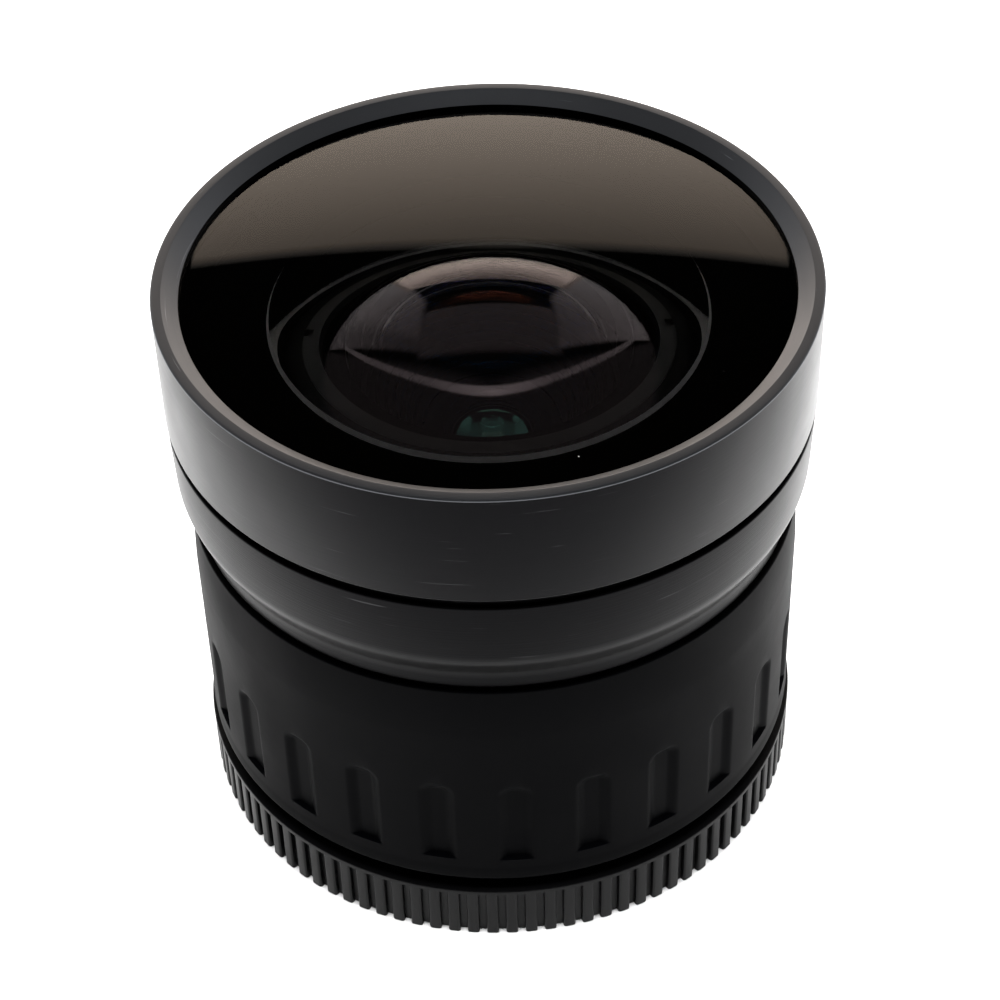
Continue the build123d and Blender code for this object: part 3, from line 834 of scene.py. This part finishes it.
# The back wall: brightest low down, with soft sides and a slightly arched top.
wall_side_edge = (0.58, 0.66)
wall_top_edge = (-0.012, 0.012)
wall_top_height = 0.713
wall_top_tilt = 0.065
wall_top_arch = -0.13
wall_fade = (0.3, 0.574)
wall_light = (3.15, 0.64)
wall_slope = sky.sum("MULTIPLY_ADD", wall_side, wall_top_arch, wall_top_tilt)
wall_top = sky.sum("MULTIPLY_ADD", wall_side, wall_slope, wall_top_height)
from_middle = sky.sum("ABSOLUTE", wall_side)
over_top = sky.sum("SUBTRACT", wall_height, wall_top)
between_sides = sky.spread(from_middle, *wall_side_edge, 1.0, 0.0)
under_top = sky.spread(over_top, *wall_top_edge, 1.0, 0.0)
back_wall = sky.sum("MULTIPLY", between_sides, under_top)
back_wall = sky.sum("MULTIPLY", back_wall, sky.spread(height, *wall_fade, *wall_light))

# The side walls: one on each side, cut off along a slant in front. The left one is dimmer
# far out.
side_near_width = 0.42
side_near_lean = 0.12
side_far_lean = 0.56
side_inner_edge = (0.0, 0.08)
side_front_slant = -0.38
side_front_edge = (-0.03, 0.03)
side_fade = (0.17, 0.8)
side_light = (1.05, 0.45)
left_fade = (-1.8, -1.2)
left_light = (0.55, 1.0)
near_edge = sky.sum("MULTIPLY_ADD", ceiling_back, side_near_lean, side_near_width)
far_edge = sky.sum("MULTIPLY", ceiling_back, side_far_lean)
past_inner = sky.sum("SUBTRACT", ceiling_side, sky.sum("MAXIMUM", near_edge, far_edge))
past_front = sky.sum("MULTIPLY_ADD", ceiling_side, side_front_slant, ceiling_back)
outside_inner = sky.spread(past_inner, *side_inner_edge)
behind_front = sky.spread(past_front, *side_front_edge)
side_walls = sky.sum("MULTIPLY", outside_inner, behind_front)
side_walls = sky.sum("MULTIPLY", side_walls, sky.spread(height, *side_fade, *side_light))
side_walls = sky.sum("MULTIPLY", side_walls, sky.spread(wall_side, *left_fade, *left_light))

# The ceiling: a dim sheet between the side walls.
ceiling_front_edge = (0.1, 0.18)
ceiling_back_edge = (0.7, 0.74)
ceiling_side_edge = (0.5, 0.56)
ceiling_light = 0.25
ceiling = sky.spread(ceiling_back, *ceiling_back_edge, ceiling_light, 0.0)
ceiling = sky.sum("MULTIPLY", sky.spread(ceiling_back, *ceiling_front_edge), ceiling)
ceiling = sky.sum("MULTIPLY", ceiling, sky.spread(ceiling_side, *ceiling_side_edge, 1.0, 0.0))

# The slit above the camera: an arched gap, brightest in its middle, that ends at the horizon.
slit_bend = 0.15
slit_reach = 0.58
slit_shift = -0.45
slit_edge = (0.03, 0.06)
slit_fade = (0.0, 0.45)
slit_light = (1.9, 0.75)
horizon = (0.02, 0.1)
arch = sky.sum("SQRT", sky.sum("MULTIPLY_ADD", ceiling_side, ceiling_side, slit_bend))
slit_line = sky.sum("MULTIPLY_ADD", arch, slit_reach, slit_shift)
from_slit = sky.sum("ABSOLUTE", sky.sum("SUBTRACT", ceiling_back, slit_line))
slit = sky.spread(from_slit, *slit_edge, 1.0, 0.0)
slit = sky.sum("MULTIPLY", slit, sky.spread(ceiling_side, *slit_fade, *slit_light))
slit = sky.sum("MULTIPLY", slit, sky.spread(height, *horizon))

# All of it together, with a little light from the room in front of the tent.
room_edge = (-0.1, -0.2)
room_light = (0.006, 0.11)
room = sky.spread(past_front, *room_edge, *room_light)
walls = sky.sum("MAXIMUM", back_wall, side_walls)
total = sky.sum("MAXIMUM", walls, sky.sum("MAXIMUM", ceiling, slit))
total = sky.sum("MAXIMUM", total, room)
background = studio.node_tree.nodes["Background"]
warm = sky.spread(back_wall, 0.0, 0.5)
tent_colour = sky.blend(warm, (1.0, 1.0, 1.0), (1.0, 0.88, 0.78))
sky.tree.links.new(tent_colour, background.inputs["Color"])
sky.tree.links.new(total, background.inputs["Strength"])

# Two soft lamps, above and behind the lens, light the table evenly.
box_width = 0.9
box_depth = 0.6


def soft_box(name, power, place, tilt):
    """A wide soft lamp that lights the table and doesn't show in the glass itself."""
    lamp_data = bpy.data.lights.new(name, "AREA")
    lamp_data.shape = "RECTANGLE"
    lamp_data.size = box_width
    lamp_data.size_y = box_depth
    lamp_data.energy = power
    lamp = bpy.data.objects.new(name, lamp_data)
    lamp.location = place
    lamp.rotation_euler.x = math.radians(tilt)
    lamp.visible_glossy = False
    lamp.visible_transmission = False
    bpy.context.scene.collection.objects.link(lamp)


soft_box("overhead_box", 50, (0, -0.1, 1.5), 0)
soft_box("back_box", 22, (0, 0.8, 0.7), -49)
